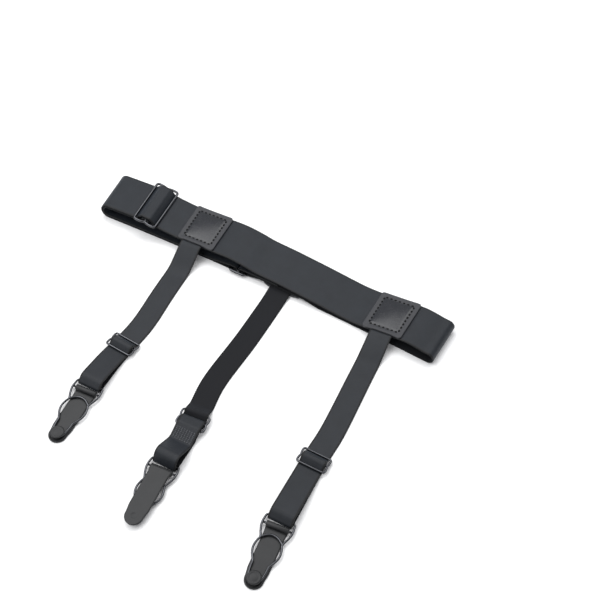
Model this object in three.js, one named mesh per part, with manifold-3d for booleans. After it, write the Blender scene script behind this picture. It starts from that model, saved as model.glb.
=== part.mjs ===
// A shirt stay lying flat: an elastic thigh band closed into a loop and pressed into two layers,
// with three garter straps that end in wire and rubber clips.
// Millimetres, +Z up. X runs along the flattened band and the straps run toward -Y.
import * as THREE from 'three';
import { mergeVertices } from 'three/addons/utils/BufferGeometryUtils.js';
import Module from 'manifold-3d';

const wasm = await Module();
wasm.setup();

// Air left between two pieces or two strands that touch on the real thing
const clearance = 0.3;

// Thigh band: wide elastic webbing
const bandLength = 318;
const bandWidth = 40;
const bandThickness = 1.3;
// How far the middle of the band lies behind the line between its two folds
const bandBow = 4.3;
// The left end lies turned by this angle, and the turn fades out toward the right end
const bandSkew = THREE.MathUtils.degToRad(4);
// Radii of the two folds, to the middle of the outermost strand
const leftFoldRadius = 6.7;
const rightFoldRadius = 4.9;
// How far the left fold bulges past the band's end, and how far the right one stays short of it
const leftFoldBulge = 2.3;
const rightFoldShort = 3.2;
// Radius of the band's gentle bends, and the run in which its lower layer comes down to the ground
const bandBend = 6;
const bandRamp = 16;
// How far the lift in the lower layer goes on past the patch that lies under it
const liftMargin = 3;
// Highest place of the upper layer between slider and right fold, to the middle of the webbing
const bandLoft = 12.8;
// Rise and fall of the upper layer: shares of the band's length and of its loft
const upperLayer = [
  { along: 0.192, height: 0.92 },
  { along: 0.245, height: 0.82 },
  { along: 0.31, height: 0.89 },
  { along: 0.38, height: 1.0 },
  { along: 0.43, height: 0.88 },
  { along: 0.47, height: 0.7 },
  { along: 0.53, height: 0.635 },
  { along: 0.575, height: 0.555 },
  { along: 0.62, height: 0.48 },
  { along: 0.66, height: 0.4 },
  { along: 0.7, height: 0.32 },
  { along: 0.745, height: 0.27 },
  { along: 0.79, height: 0.37 },
  { along: 0.85, height: 0.63 },
  { along: 0.91, height: 0.91 },
];

// Wire hardware of the band: a three-bar slider and a rectangular ring
const bandWire = 2.2;
const sliderPlace = 0.134 * bandLength;
const sliderPitch = 10.2;
// The slider lies on the webbing: height of its middle bar, and how far the bar on its right lies
// lower than that
const sliderHeight = 15.9;
const sliderFall = 1.1;
// How deep the slider's ends dip in at its middle bar
const sliderPinch = 1.2;
// Hump of webbing over the middle bar: radius of its two bends, and where they lie from the bar
const humpRadius = 2.9;
const humpSpread = 2.6;
const humpRise = 0.75;
const ringPlace = 0.419 * bandLength;
const ringPitch = 14;
const ringCorner = 2;
// How far the two loose turns of webbing reach into the ring past its bars
const ringPlay = 3.9;
// How far before the ring the doubled strand lifts off the lower one
const ringRun = 25;
// The upper layer leaves the slider and meets the right fold this far along from their centres
const barRun = 2;
const foldRun = 4;

// Leather patches
const patchLength = 34.6;
// How far a patch reaches past the band's edges
const patchOverhang = 0.2;
const patchWidth = bandWidth + 2 * patchOverhang;
const patchThickness = 1.4;
const patchCorner = 3;
const patchPlaces = { a: 0.55 * bandLength, b: 0.2865 * bandLength, c: 0.841 * bandLength };
// Depth of the strap's end under its patch
const seamDepth = 31;
// Where the leather comes down beside the strap under it, and the length of that slope
const pocketMargin = 1.5;
const pocketSlope = 4;

// Garter straps: narrow elastic webbing, and the longest one's length to the clip's bar
const strapLength = 182;
const strapWidth = 19;
const strapThickness = 1.1;
// How far in front of the band a strap reaches the ground
const strapDrop = 30;
// Radii of a strap's bends: at patch and slider, and where it meets the ground
const strapBend = 6;
const strapSweep = 25;
// Rise of the slackest strand between slider and clip, how far before the clip's bar it turns down
// and the radius of that bend
const strapSlack = 11;
const slackRun = 4;
const slackBend = 5;
// On the strap that is turned over, how far past the slider this strand lies flat, and the air there
const slackFlat = 12;
const slackAir = 0.6;
// How loosely it turns round the clip's bar
const clipPlay = 0.35;
const strapWire = 1.7;
const strapSliderPitch = 6.5;
const strapSliderPinch = 0.7;
// Ahead of a slider: where its strands reach the ground, and how long the sewn end is
const strapFoot = 10;
const returnFoot = 5;
const sewnEnd = 3.2;

// One row per strap: its patch and how far it sits off the patch's middle in shares of its width,
// its length as a share of the longest, where its slider sits as a share of its own length,
// how far its slack strand rises as a share of the slackest, which face is up, how the clip is
// turned in degrees, and how the strap strays sideways at a few shares of its length, in shares of
// its width
const straps = [
  {
    name: '1', patch: 'b', offset: -0.137, length: 0.8407, slider: 0.72, slack: 0.68,
    faceUp: true, clipTurn: 2.8,
    stray: [
      { along: 0.3, aside: -0.03 },
      { along: 0.5, aside: 0 },
      { along: 0.6, aside: -0.04 },
      { along: 0.72, aside: -0.18 },
      { along: 0.84, aside: -0.29 },
      { along: 1, aside: -0.35 },
    ],
  },
  {
    name: '2', patch: 'a', offset: -0.032, length: 1, slider: 0.784, slack: 1,
    faceUp: false, clipTurn: 4.4,
    stray: [
      { along: 0.3, aside: -0.05 },
      { along: 0.56, aside: -0.19 },
      { along: 0.7, aside: -0.06 },
      { along: 0.78, aside: 0.02 },
      { along: 0.88, aside: 0.05 },
      { along: 1, aside: 0.04 },
    ],
  },
  {
    name: '3', patch: 'c', offset: 0.035, length: 0.9753, slider: 0.704, slack: 0.7,
    faceUp: true, clipTurn: 4.2,
    stray: [
      { along: 0.25, aside: 0.2 },
      { along: 0.53, aside: 0.43 },
      { along: 0.7, aside: 0.45 },
      { along: 1, aside: 0.6 },
    ],
  },
];

// The same rows in millimetres
const strapSizes = straps.map((row) => ({
  ...row,
  offset: row.offset * strapWidth,
  length: row.length * strapLength,
  slider: row.slider * row.length * strapLength,
  slack: row.slack * strapSlack,
}));

// Garter clip: bent wire outline, half of it, as shares of the clip's length and half its width
const clipLength = 51.2;
const clipHalfWidth = 11.4;
const clipWire = 1.7;
const clipOutline = [
  { along: 0, out: 0.86 },
  { along: 0.028, out: 0.96 },
  { along: 0.148, out: 1.0 },
  { along: 0.25, out: 0.88 },
  { along: 0.343, out: 0.72 },
  { along: 0.4, out: 0.8 },
  { along: 0.483, out: 0.87 },
  { along: 0.566, out: 0.82 },
  { along: 0.65, out: 0.64 },
  { along: 0.705, out: 0.52 },
  { along: 0.79, out: 0.5 },
  { along: 0.9, out: 0.42 },
  { along: 0.975, out: 0.22 },
];
const clipPinch = 0.343;
// Height of the arc that closes the ring at its top, as a share of the clip's length
const clipArcRise = 0.0835;
// Bars within a wire outline are a little thinner than the outline
const innerBar = 0.94;

// Rubber tongue, hung on a bar of its own across the clip's frame
const tongueBar = 6.6;
const tongueThickness = 1.6;
const tongueRollWall = 1.1;
const tongueHalfWidthTop = 8.4;
const tongueHalfWidthMiddle = 7.8;
const tongueTipRadius = 6.9;
const tonguePastWire = 2.8;
const tongueLength = clipLength + tonguePastWire;
// Length in which it narrows from its top, and in which it widens or narrows to its round tip
const tongueTaper = 7;
const tongueTipRun = 8;
const buttonRadius = 5.3;
const buttonThickness = 1.2;
const buttonStemRadius = 2.6;
const buttonEdge = { out: 0.8, up: 0.6 };

// Sides of a wire's section, and the longest straight step on a bend of webbing
const wireSides = 6;
const longestStep = 4;
// Air that makes up for the flat facets of nested bends
const facetSlack = 0.05;

// Finishes
const webbing = new THREE.MeshStandardMaterial({ color: 0x34373b, roughness: 0.75, metalness: 0 });
const leather = new THREE.MeshStandardMaterial({ color: 0x5b5c5f, roughness: 0.45, metalness: 0 });
const gunmetal = new THREE.MeshStandardMaterial({ color: 0x3a3b3d, roughness: 0.25, metalness: 1 });
const rubber = new THREE.MeshStandardMaterial({ color: 0x4e5052, roughness: 0.6, metalness: 0 });

const bandStep = bandThickness + clearance;
const strapStep = strapThickness + clearance;
const bandOnWire = bandWire / 2 + clearance + bandThickness / 2;
const strapOnWire = strapWire / 2 + clearance + strapThickness / 2;
const strapOnClip = clipWire / 2 + clearance + strapThickness / 2;

// A path in a vertical plane that runs tangent from circle to circle. A positive radius has its
// centre on the path's left, a negative one on its right, and zero is a plain point.
function belt(stops, degreesPerStep) {
  const headings = [];
  for (let i = 0; i + 1 < stops.length; i += 1) {
    const from = stops[i];
    const to = stops[i + 1];
    const distance = Math.hypot(to.x - from.x, to.z - from.z);
    const lean = THREE.MathUtils.clamp((to.r - from.r) / distance, -1, 1);
    headings.push(Math.atan2(to.z - from.z, to.x - from.x) - Math.asin(lean));
  }
  const path = [];
  stops.forEach((stop, i) => {
    const arrive = headings[Math.max(i - 1, 0)];
    const leave = headings[Math.min(i, headings.length - 1)];
    const side = Math.sign(stop.r);
    let turn = leave - arrive;
    if (side !== 0) {
      const quarter = Math.PI / 2;
      turn = side * (THREE.MathUtils.euclideanModulo(side * turn + quarter, 4 * quarter) - quarter);
    }
    const bySharpness = Math.abs(turn) / THREE.MathUtils.degToRad(degreesPerStep);
    const byLength = Math.abs(turn * stop.r) / longestStep;
    const steps = side === 0 ? 0 : Math.max(1, Math.ceil(Math.max(bySharpness, byLength)));
    for (let k = 0; k <= steps; k += 1) {
      const heading = arrive + (steps ? (turn * k) / steps : 0);
      const side = new THREE.Vector2(Math.sin(heading), -Math.cos(heading));
      path.push(side.multiplyScalar(stop.r).add(new THREE.Vector2(stop.x, stop.z)));
    }
  });
  return path.filter((point, i) => i === 0 || point.distanceTo(path[i - 1]) > 0.05);
}

// Webbing of even thickness along a path, as wide as given, with the path's plane at v = 0
function ribbon(path, thickness, width) {
  const left = [];
  const right = [];
  path.forEach((point, i) => {
    const before = path[Math.max(i - 1, 0)];
    const after = path[Math.min(i + 1, path.length - 1)];
    const inward = new THREE.Vector2().subVectors(point, before);
    const outward = new THREE.Vector2().subVectors(after, point);
    if (i === 0) inward.copy(outward);
    if (i === path.length - 1) outward.copy(inward);
    const along = inward.normalize().add(outward.normalize()).normalize();
    const normal = new THREE.Vector2(-along.y, along.x);
    const half = thickness / 2 / Math.max(0.8, along.dot(outward));
    left.push(new THREE.Vector2().copy(point).addScaledVector(normal, half));
    right.push(new THREE.Vector2().copy(point).addScaledVector(normal, -half));
  });
  const outline = new THREE.Shape([...left, ...right.reverse()]);
  const geometry = new THREE.ExtrudeGeometry(outline, { depth: width, steps: 1, bevelEnabled: false });
  // Stand the section up: the path's height becomes Z and the width runs along Y
  return geometry.rotateX(Math.PI / 2).translate(0, width / 2, 0);
}

// Only positions, with shared corners, and faces that point out
function weld(geometry) {
  const plain = geometry.index ? geometry.toNonIndexed() : geometry.clone();
  plain.deleteAttribute('normal');
  plain.deleteAttribute('uv');
  const welded = mergeVertices(plain, 1e-4);
  const index = welded.index.array;
  const position = welded.attributes.position;
  const corner = [new THREE.Vector3(), new THREE.Vector3(), new THREE.Vector3()];
  const faces = [];
  let volume = 0;
  for (let i = 0; i < index.length; i += 3) {
    const [a, b, c] = [index[i], index[i + 1], index[i + 2]];
    if (a !== b && b !== c && c !== a) {
      faces.push(a, b, c);
      corner[0].fromBufferAttribute(position, a);
      corner[1].fromBufferAttribute(position, b);
      corner[2].fromBufferAttribute(position, c);
      volume += corner[0].dot(corner[1].cross(corner[2]));
    }
  }
  welded.setIndex(volume < 0 ? faces.reverse() : faces);
  return welded;
}

function toManifold(geometry) {
  const welded = weld(geometry);
  return new wasm.Manifold(new wasm.Mesh({
    numProp: 3,
    vertProperties: new Float32Array(welded.attributes.position.array),
    triVerts: new Uint32Array(welded.index.array),
  }));
}

function fromManifold(solid) {
  const mesh = solid.getMesh();
  const geometry = new THREE.BufferGeometry();
  geometry.setAttribute('position', new THREE.BufferAttribute(new Float32Array(mesh.vertProperties), 3));
  geometry.setIndex(Array.from(mesh.triVerts));
  return geometry;
}

function joined(...geometries) {
  return fromManifold(geometries.map(toManifold).reduce((sum, solid) => sum.add(solid)));
}

function moved(geometry, place) {
  const position = geometry.attributes.position;
  const point = new THREE.Vector3();
  for (let i = 0; i < position.count; i += 1) {
    point.fromBufferAttribute(position, i);
    const to = place(point);
    position.setXYZ(i, to.x, to.y, to.z);
  }
  return geometry;
}

// A closed loop of round wire through the given points of a level plane
function wireLoop(points, wire) {
  const geometry = new THREE.TorusGeometry(1, wire / 2, wireSides, points.length);
  const position = geometry.attributes.position;
  const perSide = points.length + 1;
  for (let i = 0; i < position.count; i += 1) {
    const station = (i % perSide) % points.length;
    const around = (Math.floor(i / perSide) / wireSides) * 2 * Math.PI;
    const before = points[(station + points.length - 1) % points.length];
    const after = points[(station + 1) % points.length];
    const along = new THREE.Vector2().subVectors(after, before).normalize();
    const reach = (wire / 2) * Math.cos(around);
    position.setXYZ(
      i,
      points[station].x + along.y * reach,
      points[station].y - along.x * reach,
      (wire / 2) * Math.sin(around),
    );
  }
  return geometry;
}

// A straight or curved length of round wire
function wireBar(points, wire) {
  const curved = points.length > 2;
  const route = curved ? new THREE.CatmullRomCurve3(points) : new THREE.LineCurve3(points[0], points[1]);
  const section = new THREE.Shape();
  for (let i = 0; i < wireSides; i += 1) {
    const around = (i / wireSides) * 2 * Math.PI;
    section[i ? 'lineTo' : 'moveTo']((wire / 2) * Math.cos(around), (wire / 2) * Math.sin(around));
  }
  const steps = curved ? points.length * 2 : 1;
  return new THREE.ExtrudeGeometry(section, { steps, extrudePath: route, bevelEnabled: false });
}

// Outline of a three-bar slider: two round-cornered halves, pinched in at the middle bar
// and just long enough for the webbing to lie flat between them
function sliderOutline(pitch, wire, pinch, webWidth) {
  const corner = clearance + wire / 2 + pinch;
  const halfLength = webWidth / 2 + corner;
  const points = [];
  for (const [sx, sy] of [[1, 1], [-1, 1], [-1, -1], [1, -1]]) {
    const quarter = [
      [pitch, halfLength - corner],
      [pitch - corner * 0.16, halfLength - corner * 0.48],
      [pitch - corner * 0.6, halfLength - corner * 0.16],
      [pitch - corner * 1.3, halfLength],
      [pitch * 0.3, halfLength - pinch * 0.3],
      [pitch * 0.12, halfLength - pinch * 0.8],
    ];
    if (sx * sy < 0) quarter.reverse();
    quarter.forEach(([x, y]) => points.push(new THREE.Vector2(sx * x, sy * y)));
    if (sx * sy > 0) points.push(new THREE.Vector2(0, sy * (halfLength - pinch)));
  }
  return points;
}

function slider(pitch, wire, pinch, webWidth) {
  const reach = webWidth / 2 + clearance + wire / 2;
  const ends = [new THREE.Vector3(0, -reach, 0), new THREE.Vector3(0, reach, 0)];
  const outline = wireLoop(sliderOutline(pitch, wire, pinch, webWidth), wire);
  return joined(outline, wireBar(ends, wire * innerBar));
}

// How far the band is turned in plan at a place along it
function bandAngle(x) {
  const share = x / bandLength;
  return Math.atan((4 * bandBow * (1 - 2 * share)) / bandLength) + bandSkew * (1 - share);
}

// Where the band lies in plan: bowed along its length, with its left end turned
function onBand(point) {
  const share = point.x / bandLength;
  const bow = 4 * bandBow * share * (1 - share);
  const angle = bandAngle(point.x);
  const across = point.y - bandWidth / 2;
  return new THREE.Vector3(
    point.x - Math.sin(angle) * across,
    bandWidth / 2 + bow + Math.cos(angle) * across,
    point.z,
  );
}

const foldLeft = { x: leftFoldRadius - leftFoldBulge, z: leftFoldRadius + bandThickness / 2 };
const foldRight = {
  x: bandLength - rightFoldShort - rightFoldRadius,
  z: rightFoldRadius + bandThickness / 2,
};
const barLeft = { x: sliderPlace - sliderPitch, z: sliderHeight + sliderFall };
const barMiddle = { x: sliderPlace, z: sliderHeight };
const barRight = { x: sliderPlace + sliderPitch, z: sliderHeight - sliderFall };
const ringHeight = bandThickness / 2 + bandOnWire;
// The lower layer is lifted by the strap and the leather sewn under it
const liftedLayer = patchThickness + clearance + strapStep + bandThickness / 2;

const upperCurve = new THREE.SplineCurve([
  new THREE.Vector2(barRight.x + barRun, barRight.z - bandOnWire),
  ...upperLayer.map((row) => new THREE.Vector2(row.along * bandLength, row.height * bandLoft)),
  new THREE.Vector2(foldRight.x - foldRun, foldRight.z + rightFoldRadius),
]);
const upperPoints = upperCurve.getPoints(64);

// Height of the upper layer's middle at a place along the band
function upperHeight(x) {
  const next = Math.max(1, upperPoints.findIndex((point) => point.x >= x));
  const share = (x - upperPoints[next - 1].x) / (upperPoints[next].x - upperPoints[next - 1].x);
  return THREE.MathUtils.lerp(upperPoints[next - 1].y, upperPoints[next].y, share);
}

// The whole strip of the band: from its end sewn round the slider's middle bar, by the inner side
// of the left fold to the ring, back outside it and through the slider, then by the right fold to
// its other end on the ring
function bandPath() {
  const liftStart = patchPlaces.a - patchLength / 2 - liftMargin;
  const liftEnd = patchPlaces.a + patchLength / 2 + liftMargin;
  const lean = (humpSpread / sliderPitch) * sliderFall;
  return belt([
    { x: sliderPlace - 1.75 * bandOnWire, z: sliderHeight + bandStep / 2, r: 0 },
    { ...barMiddle, r: -bandOnWire },
    { ...barLeft, r: -(bandOnWire + bandStep + facetSlack) },
    { ...foldLeft, r: leftFoldRadius - bandStep - facetSlack },
    { x: ringPlace - ringRun, z: bandThickness / 2 + bandStep + bandBend, r: bandBend },
    { x: ringPlace - ringPitch / 2, z: ringHeight, r: -bandOnWire },
    { x: ringPlace - ringPitch / 2 + ringPlay, z: ringHeight, r: -bandOnWire },
    { ...foldLeft, r: -leftFoldRadius },
    { ...barLeft, r: bandOnWire },
    { x: sliderPlace - humpSpread, z: sliderHeight + humpRise + lean, r: -humpRadius },
    { x: sliderPlace + humpSpread, z: sliderHeight + humpRise - lean, r: -humpRadius },
    { ...barRight, r: bandOnWire },
    ...upperPoints.map((point) => ({ x: point.x, z: point.y, r: 0 })),
    { ...foldRight, r: -rightFoldRadius },
    { x: liftEnd + bandRamp, z: bandThickness / 2 + bandBend, r: -bandBend },
    { x: liftEnd, z: liftedLayer - bandBend, r: bandBend },
    { x: liftStart, z: liftedLayer - bandBend, r: bandBend },
    { x: ringPlace + ringPitch / 2, z: ringHeight, r: -bandOnWire },
    { x: ringPlace + ringPitch / 2 - ringPlay, z: ringHeight, r: -bandOnWire },
    { x: liftStart, z: liftedLayer - bandBend, r: -(bandBend + bandStep) },
    { x: patchPlaces.a - liftMargin, z: liftedLayer + bandStep, r: 0 },
  ], 18);
}

function thighBand() {
  return moved(ribbon(bandPath(), bandThickness, bandWidth).translate(0, bandWidth / 2, 0), onBand);
}

function bandSlider() {
  const wire = slider(sliderPitch, bandWire, sliderPinch, bandWidth);
  wire.rotateY(Math.asin(sliderFall / sliderPitch));
  return moved(wire.translate(sliderPlace, bandWidth / 2, sliderHeight), onBand);
}

function bandRing() {
  const halfLength = bandWidth / 2 + clearance + ringCorner;
  const outline = new THREE.Shape();
  const halfPitch = ringPitch / 2;
  outline.absarc(halfPitch - ringCorner, halfLength - ringCorner, ringCorner, 0, Math.PI / 2);
  outline.absarc(ringCorner - halfPitch, halfLength - ringCorner, ringCorner, Math.PI / 2, Math.PI);
  outline.absarc(ringCorner - halfPitch, ringCorner - halfLength, ringCorner, Math.PI, 1.5 * Math.PI);
  outline.absarc(halfPitch - ringCorner, ringCorner - halfLength, ringCorner, -Math.PI / 2, 0);
  const wire = wireLoop(outline.getPoints(4), bandWire);
  return moved(wire.translate(ringPlace, bandWidth / 2, ringHeight), onBand);
}

// How far a patch is pushed away from the band by the strap under it, at a place across it
function pocket(x) {
  const edge = strapWidth / 2 + pocketMargin;
  return strapStep * (1 - THREE.MathUtils.smoothstep(Math.abs(x), edge, edge + pocketSlope));
}

// A leather square lying on the band's layer: side +1 on top of it, -1 under it
function leatherPatch(place, side, heightAt) {
  const shift = strapSizes.find((row) => patchPlaces[row.patch] === place).offset;
  const spare = 2;
  const slab = new THREE.BoxGeometry(patchLength + spare, patchWidth + spare, patchThickness, 18, 1, 1);
  moved(slab, (point) => new THREE.Vector3(point.x, point.y, point.z + pocket(point.x - shift)));
  const square = new THREE.Shape();
  const halfX = patchLength / 2 - patchCorner;
  const halfY = patchWidth / 2 - patchCorner;
  square.absarc(halfX, halfY, patchCorner, 0, Math.PI / 2);
  square.absarc(-halfX, halfY, patchCorner, Math.PI / 2, Math.PI);
  square.absarc(-halfX, -halfY, patchCorner, Math.PI, 1.5 * Math.PI);
  square.absarc(halfX, -halfY, patchCorner, 1.5 * Math.PI, 2 * Math.PI);
  const depth = 4 * (patchThickness + strapStep);
  const cutter = new THREE.ExtrudeGeometry(square, { depth, bevelEnabled: false, curveSegments: 3 });
  const patch = fromManifold(toManifold(slab).intersect(toManifold(cutter.translate(0, 0, -depth / 2))));
  const seat = bandThickness / 2 + clearance + patchThickness / 2;
  return moved(patch, (point) => {
    const x = place + point.x;
    return onBand(new THREE.Vector3(x, point.y + bandWidth / 2, heightAt(x) + side * (seat + point.z)));
  });
}

// Plan of a strap: its own straight axis, and how far it strays from that axis
function strapPlan(row) {
  const x = patchPlaces[row.patch] + row.offset;
  const root = onBand(new THREE.Vector3(x, 0, 0));
  const turn = bandAngle(x);
  const line = new THREE.SplineCurve([
    new THREE.Vector2(0, 0),
    ...row.stray.map((bend) => new THREE.Vector2(bend.along * row.length, bend.aside * strapWidth)),
  ]).getPoints(40);
  const last = line[line.length - 1];
  const endSlope = (last.y - line[line.length - 4].y) / (last.x - line[line.length - 4].x);
  const aside = (u) => {
    if (u <= 0) return 0;
    if (u >= last.x) return last.y + (u - last.x) * endSlope;
    const next = line.findIndex((point) => point.x >= u);
    const share = (u - line[next - 1].x) / (line[next].x - line[next - 1].x);
    return THREE.MathUtils.lerp(line[next - 1].y, line[next].y, share);
  };
  const lean = (u) => Math.atan((aside(u + 2) - aside(u - 2)) / 4);
  // A place along and across the strap, in plan
  const at = (u, v) => {
    const slope = lean(u);
    const side = aside(u) + v * Math.cos(slope);
    const ahead = u - v * Math.sin(slope);
    return new THREE.Vector2(
      root.x + side * Math.cos(turn) + ahead * Math.sin(turn),
      root.y + side * Math.sin(turn) - ahead * Math.cos(turn),
    );
  };
  return { x, turn, lean, at };
}

// Path of a strap from its seam, in its own vertical plane: distance from the band and height.
// The strand goes through the slider to the clip's bar, round it and back to the middle bar.
function strapPath(row) {
  const rest = strapThickness / 2;
  const turnRadius = strapOnClip + clipPlay;
  const clipCentre = { x: row.length + 2 * clipPlay, z: rest + turnRadius };
  const slackPlace = row.length - slackRun;
  if (row.faceUp) {
    const seat = upperHeight(patchPlaces[row.patch] + row.offset);
    const start = seat + bandThickness / 2 + clearance + rest;
    const low = rest + strapOnWire;
    const high = low + strapStep;
    const middle = { x: row.slider, z: (low + high) / 2 };
    return belt([
      { x: -seamDepth, z: start, r: 0 },
      { x: patchThickness, z: start - strapBend, r: -strapBend },
      { x: strapDrop, z: rest + strapSweep, r: strapSweep },
      { x: row.slider - strapSliderPitch, z: low, r: strapOnWire },
      { ...middle, r: -(strapOnWire + strapStep) },
      { x: row.slider + strapSliderPitch, z: high, r: strapOnWire },
      { x: slackPlace, z: row.slack - slackBend, r: -slackBend },
      { ...clipCentre, r: -turnRadius },
      { x: row.slider + returnFoot, z: rest, r: 0 },
      { ...middle, r: -strapOnWire },
      { x: row.slider + sewnEnd, z: rest + strapStep + clearance, r: 0 },
    ], 22);
  }
  const start = patchThickness + clearance + rest;
  const level = rest + strapOnWire + strapStep;
  return belt([
    { x: -seamDepth, z: start, r: 0 },
    { x: 0, z: start - strapBend, r: -strapBend },
    { x: strapDrop / 2, z: rest + strapBend, r: strapBend },
    { x: row.slider - strapSliderPitch - strapFoot, z: rest + strapBend, r: strapBend },
    { x: row.slider - strapSliderPitch, z: level, r: -strapOnWire },
    { x: row.slider, z: level, r: strapOnWire + strapStep },
    { x: row.slider + strapSliderPitch, z: level, r: -strapOnWire },
    { x: row.slider + strapSliderPitch + strapFoot, z: rest + strapBend, r: strapBend },
    { ...clipCentre, r: turnRadius },
    { x: slackPlace, z: row.slack - slackBend, r: slackBend },
    {
      x: row.slider + strapSliderPitch + slackFlat,
      z: rest + strapStep + slackAir + strapBend,
      r: -strapBend,
    },
    { x: row.slider + strapSliderPitch, z: level, r: strapOnWire + strapStep },
    { x: row.slider, z: level, r: strapOnWire },
    { x: row.slider + sewnEnd, z: level + rest, r: 0 },
  ], 22);
}

// The strap leans with the band's layer under its patch, and lies level once it is on the ground
function strapSolid(row) {
  const plan = strapPlan(row);
  const base = row.faceUp ? upperHeight(plan.x) : 0;
  return moved(ribbon(strapPath(row), strapThickness, strapWidth), (point) => {
    const spot = plan.at(point.x, point.y);
    const lean = 1 - THREE.MathUtils.smoothstep(point.x, 0, strapDrop);
    const tilt = row.faceUp ? (upperHeight(plan.x + point.y) - base) * lean : 0;
    return new THREE.Vector3(spot.x, spot.y, point.z + tilt);
  });
}

// Puts a level piece, modelled along +X with its width along Y, on a strap
function onStrap(geometry, row, along, height, tilt, turn) {
  const plan = strapPlan(row);
  const spot = plan.at(along, 0);
  geometry.rotateY(tilt);
  geometry.rotateZ(plan.turn + plan.lean(along) + THREE.MathUtils.degToRad(turn) - Math.PI / 2);
  return geometry.translate(spot.x, spot.y, height);
}

function strapSlider(row) {
  const wire = slider(strapSliderPitch, strapWire, strapSliderPinch, strapWidth);
  const low = strapThickness / 2 + strapOnWire;
  const height = row.faceUp ? low + strapStep / 2 : low + strapStep;
  const tilt = row.faceUp ? -Math.atan(strapStep / 2 / strapSliderPitch) : 0;
  return onStrap(wire, row, row.slider, height, tilt, 0);
}

// Half width of the clip's wire at a share of its length
function clipHalf(share) {
  const next = Math.max(1, clipOutline.findIndex((point) => point.along >= share));
  const from = clipOutline[next - 1];
  const to = clipOutline[next];
  const between = (share - from.along) / (to.along - from.along);
  return clipHalfWidth * THREE.MathUtils.lerp(from.out, to.out, between);
}

function clipFrame() {
  const scale = new THREE.Vector2(clipLength, clipHalfWidth);
  const side = clipOutline.map((row) => new THREE.Vector2(row.along, row.out).multiply(scale));
  const curve = new THREE.SplineCurve(side).getPoints(24);
  const mirrored = curve.map((point) => new THREE.Vector2(point.x, -point.y)).reverse();
  const tip = new THREE.Vector2(clipLength, 0);
  const loop = wireLoop([...curve, tip, ...mirrored], clipWire);
  const bar = clipHalf(tongueBar / clipLength);
  const ends = [new THREE.Vector3(tongueBar, -bar, 0), new THREE.Vector3(tongueBar, bar, 0)];
  const cross = wireBar(ends, clipWire * innerBar);
  const pinch = clipHalf(clipPinch);
  const start = clipPinch * clipLength;
  const rise = clipArcRise * clipLength;
  const arc = wireBar([
    new THREE.Vector3(start, -pinch, 0),
    new THREE.Vector3(start - rise * 0.75, -pinch * 0.5, 0),
    new THREE.Vector3(start - rise, 0, 0),
    new THREE.Vector3(start - rise * 0.75, pinch * 0.5, 0),
    new THREE.Vector3(start, pinch, 0),
  ], clipWire * innerBar);
  return joined(loop, cross, arc);
}

// Tongue with the roll that turns on the bar and the button that the wire's keyhole holds,
// in the plane of the wire at height zero
function clipTongue() {
  const tip = tongueLength - tongueTipRadius;
  const top = -(clipWire / 2 + clearance);
  const outline = new THREE.Shape();
  outline.moveTo(tongueBar, -tongueHalfWidthTop);
  outline.lineTo(tongueBar + tongueTaper, -tongueHalfWidthMiddle);
  outline.lineTo(tip - tongueTipRun, -tongueHalfWidthMiddle);
  outline.absarc(tip, 0, tongueTipRadius, -Math.PI / 2, Math.PI / 2);
  outline.lineTo(tip - tongueTipRun, tongueHalfWidthMiddle);
  outline.lineTo(tongueBar + tongueTaper, tongueHalfWidthMiddle);
  outline.lineTo(tongueBar, tongueHalfWidthTop);
  const plate = new THREE.ExtrudeGeometry(outline, {
    depth: tongueThickness, bevelEnabled: false, curveSegments: 8,
  }).translate(0, 0, top - tongueThickness);
  const bore = clipWire / 2 + clearance;
  const rollRadius = bore + tongueRollWall;
  const roll = new THREE.CylinderGeometry(rollRadius, rollRadius, 2 * tongueHalfWidthTop, 14);
  const hole = new THREE.CylinderGeometry(bore, bore, 3 * tongueHalfWidthTop, 12);
  roll.translate(tongueBar, 0, 0);
  hole.translate(tongueBar, 0, 0);
  const buttonPlace = tongueLength - tongueTipRadius;
  const capBase = clipWire / 2 + clearance;
  const button = new THREE.LatheGeometry([
    new THREE.Vector2(0, top - tongueThickness / 2),
    new THREE.Vector2(buttonStemRadius, top - tongueThickness / 2),
    new THREE.Vector2(buttonStemRadius, capBase),
    new THREE.Vector2(buttonRadius, capBase),
    new THREE.Vector2(buttonRadius, capBase + buttonThickness * buttonEdge.up),
    new THREE.Vector2(buttonRadius * buttonEdge.out, capBase + buttonThickness),
    new THREE.Vector2(0, capBase + buttonThickness),
  ], 16);
  button.rotateX(Math.PI / 2).translate(buttonPlace, 0, 0);
  const body = toManifold(joined(plate, roll)).subtract(toManifold(hole));
  return fromManifold(body.add(toManifold(button)));
}

// Clips lie wire up on a strap whose face is up, and tongue up on the one that is turned over
function onClip(geometry, row) {
  const height = tongueThickness + clearance + clipWire / 2;
  if (!row.faceUp) {
    geometry.rotateX(Math.PI);
  }
  return onStrap(geometry, row, row.length, height, 0, row.clipTurn);
}

const stay = new THREE.Group();

function add(name, geometry, material) {
  const mesh = new THREE.Mesh(weld(geometry), material);
  mesh.name = name;
  stay.add(mesh);
}

add('thigh_band', thighBand(), webbing);
add('band_slider', bandSlider(), gunmetal);
add('band_ring', bandRing(), gunmetal);
add('patch_a', leatherPatch(patchPlaces.a, -1, () => liftedLayer), leather);
add('patch_b', leatherPatch(patchPlaces.b, 1, upperHeight), leather);
add('patch_c', leatherPatch(patchPlaces.c, 1, upperHeight), leather);
for (const row of strapSizes) {
  add(`strap_${row.name}`, strapSolid(row), webbing);
  add(`strap_slider_${row.name}`, strapSlider(row), gunmetal);
  add(`clip_frame_${row.name}`, onClip(clipFrame(), row), gunmetal);
  add(`clip_tongue_${row.name}`, onClip(clipTongue(), row), rubber);
}

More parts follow.
